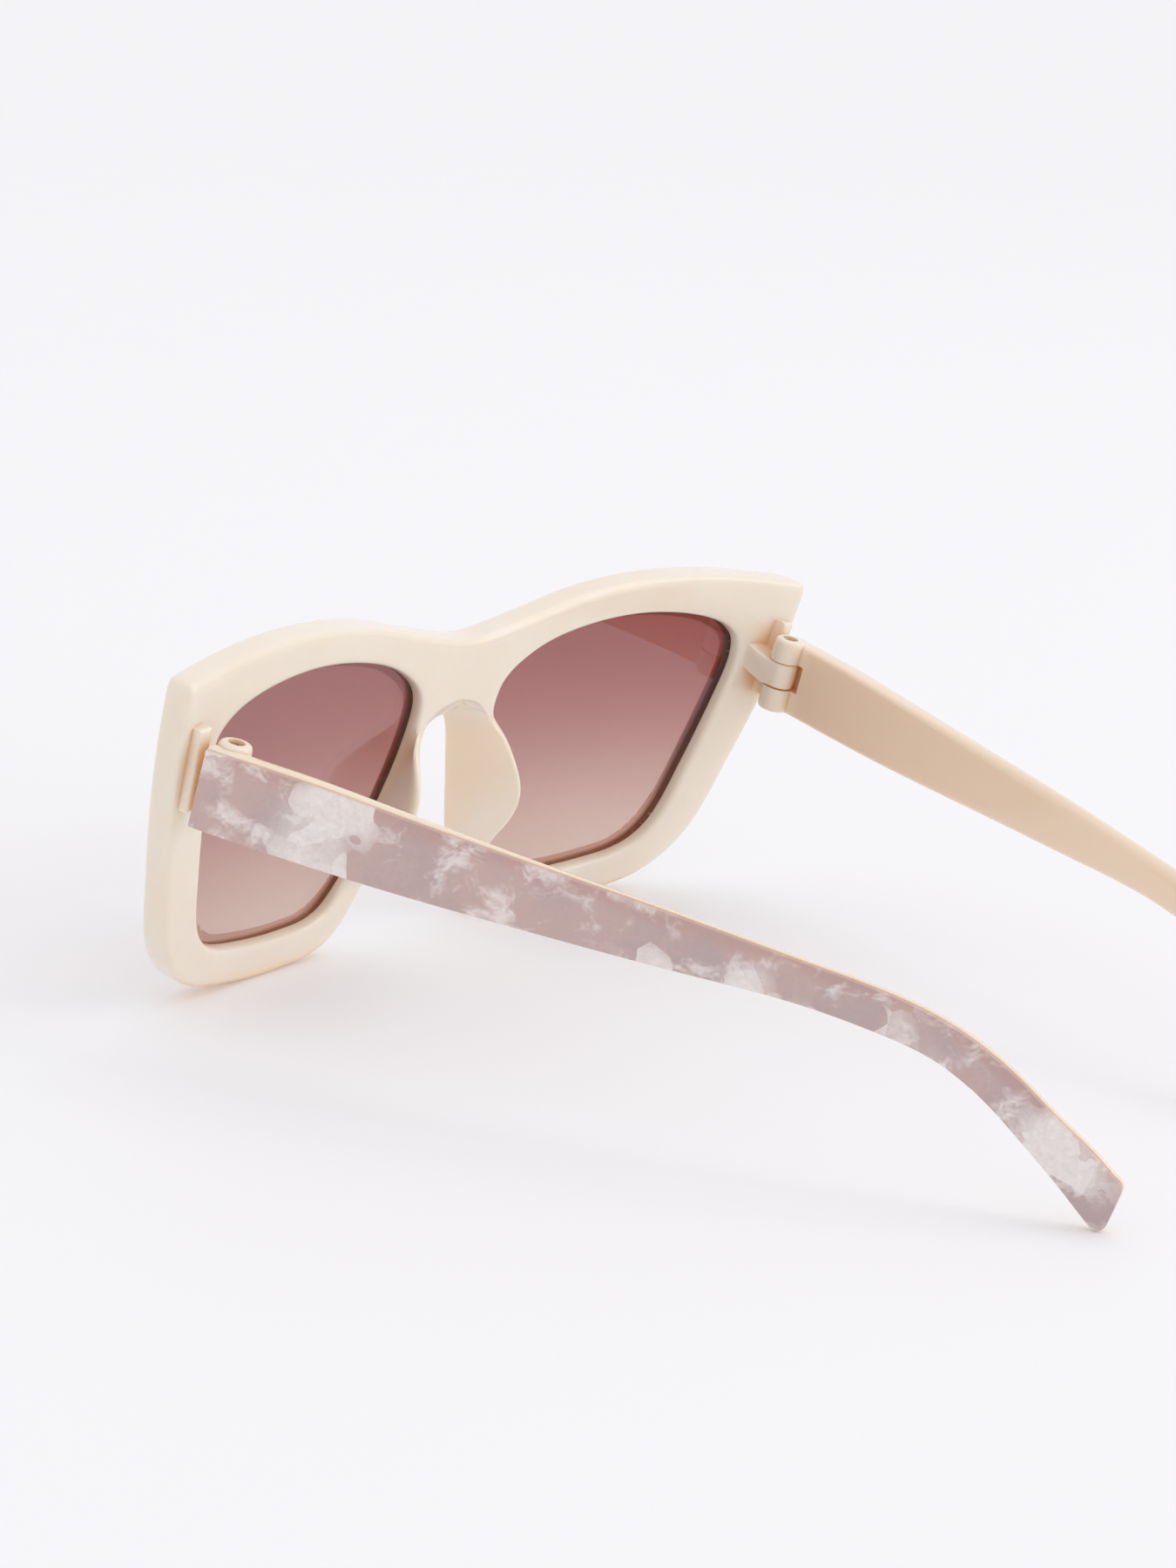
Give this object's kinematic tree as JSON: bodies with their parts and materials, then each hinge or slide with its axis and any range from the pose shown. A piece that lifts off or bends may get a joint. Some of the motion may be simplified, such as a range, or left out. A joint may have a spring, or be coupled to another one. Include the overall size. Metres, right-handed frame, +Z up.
{
  "type": "cat eye sunglasses",
  "caption": "Cat eye sunglasses with a wrapped cream front, gradient tinted lenses, moulded nose pads and slim folding temples faced with a marble patterned film",
  "frame": {"origin": "centre of the bounding box at table height, with the open sunglasses standing on the rim bottoms and the temple tips", "axes": "+Z up from the table, +X toward the wearer's left, -Y the way the lenses face, +Y along the temples"},
  "size_m": [0.1452, 0.1363, 0.0514],
  "materials": {
    "cream_plastic": "glossy injection moulded cream plastic",
    "tinted_lens": "polished lens with a rose brown gradient tint",
    "marble_film": "glossy mauve grey marble pattern",
    "screw_steel": "plain steel"
  },
  "bodies": {
    "front": {"front_frame": "cream_plastic", "lens_left": "tinted_lens", "lens_right": "tinted_lens"},
    "left_arm": {"temple_left": "cream_plastic", "film_left": "marble_film", "screw_left": "screw_steel"},
    "right_arm": {"temple_right": "cream_plastic", "film_right": "marble_film", "screw_right": "screw_steel"}
  },
  "joints": [
    {"name": "left_temple_fold", "type": "hinge", "parent": "front", "child": "left_arm", "pos_m": [0.06556, -0.0469, 0.03514], "axis": [0, 0.1686, 0.9857], "range_deg": [-14, 76]},
    {"name": "right_temple_fold", "type": "hinge", "parent": "front", "child": "right_arm", "pos_m": [-0.06556, -0.0469, 0.03514], "axis": [0, -0.1686, -0.9857], "range_deg": [-14, 68]}
  ]
}
